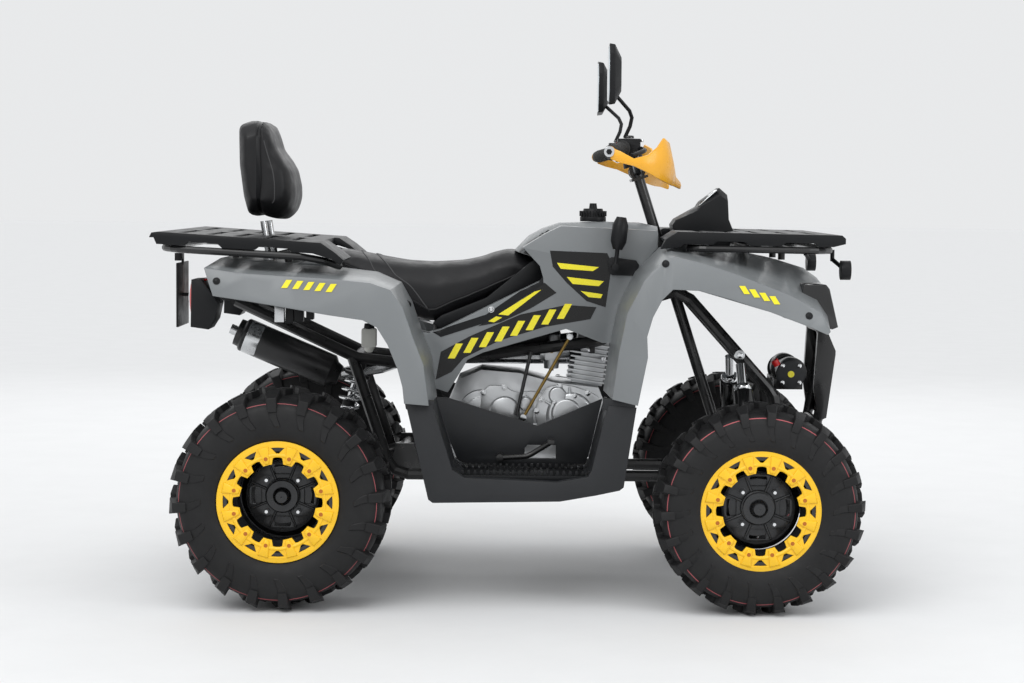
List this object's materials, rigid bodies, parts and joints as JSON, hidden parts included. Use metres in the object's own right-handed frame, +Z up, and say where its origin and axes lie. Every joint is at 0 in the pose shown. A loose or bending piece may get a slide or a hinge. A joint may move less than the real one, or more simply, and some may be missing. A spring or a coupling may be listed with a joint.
{
  "type": "quad bike",
  "caption": "Four-wheeled all-terrain vehicle with straddle seat, racks front and rear, and bar steering.",
  "frame": {"origin": "on the floor below the centre of the vehicle's bounding box", "axes": "+X forward, +Y to the rider's left, +Z up"},
  "size_m": [1.7468, 1.0418, 1.3835],
  "materials": {
    "bare_metal": "bright plated steel",
    "black_plastic": "textured black moulding",
    "body_grey": "semi-gloss moulded panels, mid cool grey",
    "engine_alloy": "cast alloy",
    "frame_black": "semi-gloss black frame paint",
    "guard_yellow": "orange-yellow moulding",
    "hub_black": "black paint",
    "lamp_amber": "amber lens",
    "lamp_clear": "clear lens over a dark bowl",
    "lamp_red": "red lens",
    "mirror_shell": "black shell",
    "plate_white": "blank plate",
    "rim_steel": "silver paint",
    "ring_yellow": "bright yellow enamel",
    "rubber": "grip rubber",
    "seat_vinyl": "black seat vinyl",
    "tyre": "black rubber"
  },
  "bodies": {
    "chassis": {"frame": "frame_black", "swing_arm": "frame_black", "rear_shock": "bare_metal", "front_arms": "frame_black", "front_shocks": "bare_metal", "engine_case": "engine_alloy", "engine_cylinder": "engine_alloy", "airbox": "black_plastic", "exhaust": "bare_metal", "muffler": "frame_black", "winch": "black_plastic", "front_bumper": "frame_black", "front_fender": "body_grey", "rear_fender": "body_grey", "tank_cover": "body_grey", "nose": "black_plastic", "headlamps": "lamp_clear", "instrument_pod": "black_plastic", "fuel_cap": "black_plastic", "seat": "seat_vinyl", "backrest_pad": "seat_vinyl", "backrest_posts": "bare_metal", "side_panels": "body_grey", "footwells": "black_plastic", "foot_pegs": "black_plastic", "tail_lamps": "lamp_red", "indicators": "lamp_amber", "rear_rack": "frame_black", "front_rack": "frame_black", "rear_rack_cover": "black_plastic", "front_rack_cover": "black_plastic", "plate_bracket": "plate_white", "gear_lever": "black_plastic", "brake_pedal": "frame_black"},
    "steering": {"steering_column": "frame_black", "handlebar": "bare_metal", "grips": "rubber", "hand_controls": "black_plastic", "hand_guards": "guard_yellow", "mirrors": "mirror_shell"},
    "knuckle_left_body": {"knuckle_left": "frame_black"},
    "knuckle_right_body": {"knuckle_right": "frame_black"},
    "tie_rod_left_body": {"tie_rod_left": "bare_metal"},
    "tie_rod_right_body": {"tie_rod_right": "bare_metal"},
    "front_wheel_left": {"front_tyre_left": "tyre", "front_rim_left": "rim_steel", "front_ring_left": "ring_yellow", "front_hub_left": "hub_black"},
    "front_wheel_right": {"front_tyre_right": "tyre", "front_rim_right": "rim_steel", "front_ring_right": "ring_yellow", "front_hub_right": "hub_black"},
    "rear_wheels": {"rear_tyres": "tyre", "rear_rims": "rim_steel", "rear_rings": "ring_yellow", "rear_axle": "hub_black"}
  },
  "joints": [
    {"name": "steer", "type": "hinge", "parent": "chassis", "child": "steering", "pos_m": [0.34775, 0, 1.05468], "axis": [-0.309, 0, 0.9511], "range_deg": [-35, 35]},
    {"name": "knuckle_left_turn", "type": "hinge", "parent": "chassis", "child": "knuckle_left_body", "pos_m": [0.62199, 0.318, 0.257], "axis": [0, 0, 1], "range_deg": [-28, 28]},
    {"name": "knuckle_right_turn", "type": "hinge", "parent": "chassis", "child": "knuckle_right_body", "pos_m": [0.62199, -0.318, 0.257], "axis": [0, 0, 1], "range_deg": [-28, 28]},
    {"name": "tie_rod_left_turn", "type": "hinge", "parent": "knuckle_left_body", "child": "tie_rod_left_body", "pos_m": [0.53599, 0.304, 0.238], "axis": [0, 0, 1], "range_deg": [-28, 28]},
    {"name": "tie_rod_right_turn", "type": "hinge", "parent": "knuckle_right_body", "child": "tie_rod_right_body", "pos_m": [0.53599, -0.304, 0.238], "axis": [0, 0, 1], "range_deg": [-28, 28]},
    {"name": "front_wheel_left_spin", "type": "hinge", "parent": "knuckle_left_body", "child": "front_wheel_left", "pos_m": [0.62199, 0.43, 0.257], "axis": [0, 1, 0], "continuous": true},
    {"name": "front_wheel_right_spin", "type": "hinge", "parent": "knuckle_right_body", "child": "front_wheel_right", "pos_m": [0.62199, -0.43, 0.257], "axis": [0, 1, 0], "continuous": true},
    {"name": "rear_wheels_spin", "type": "hinge", "parent": "chassis", "child": "rear_wheels", "pos_m": [-0.54301, 0, 0.269], "axis": [0, 1, 0], "continuous": true}
  ],
  "couplings": [
    {"joint": "knuckle_left_turn", "follows": "steer", "ratio": 0.8},
    {"joint": "knuckle_right_turn", "follows": "steer", "ratio": 0.8},
    {"joint": "tie_rod_left_turn", "follows": "steer", "ratio": -0.8},
    {"joint": "tie_rod_right_turn", "follows": "steer", "ratio": -0.8}
  ]
}
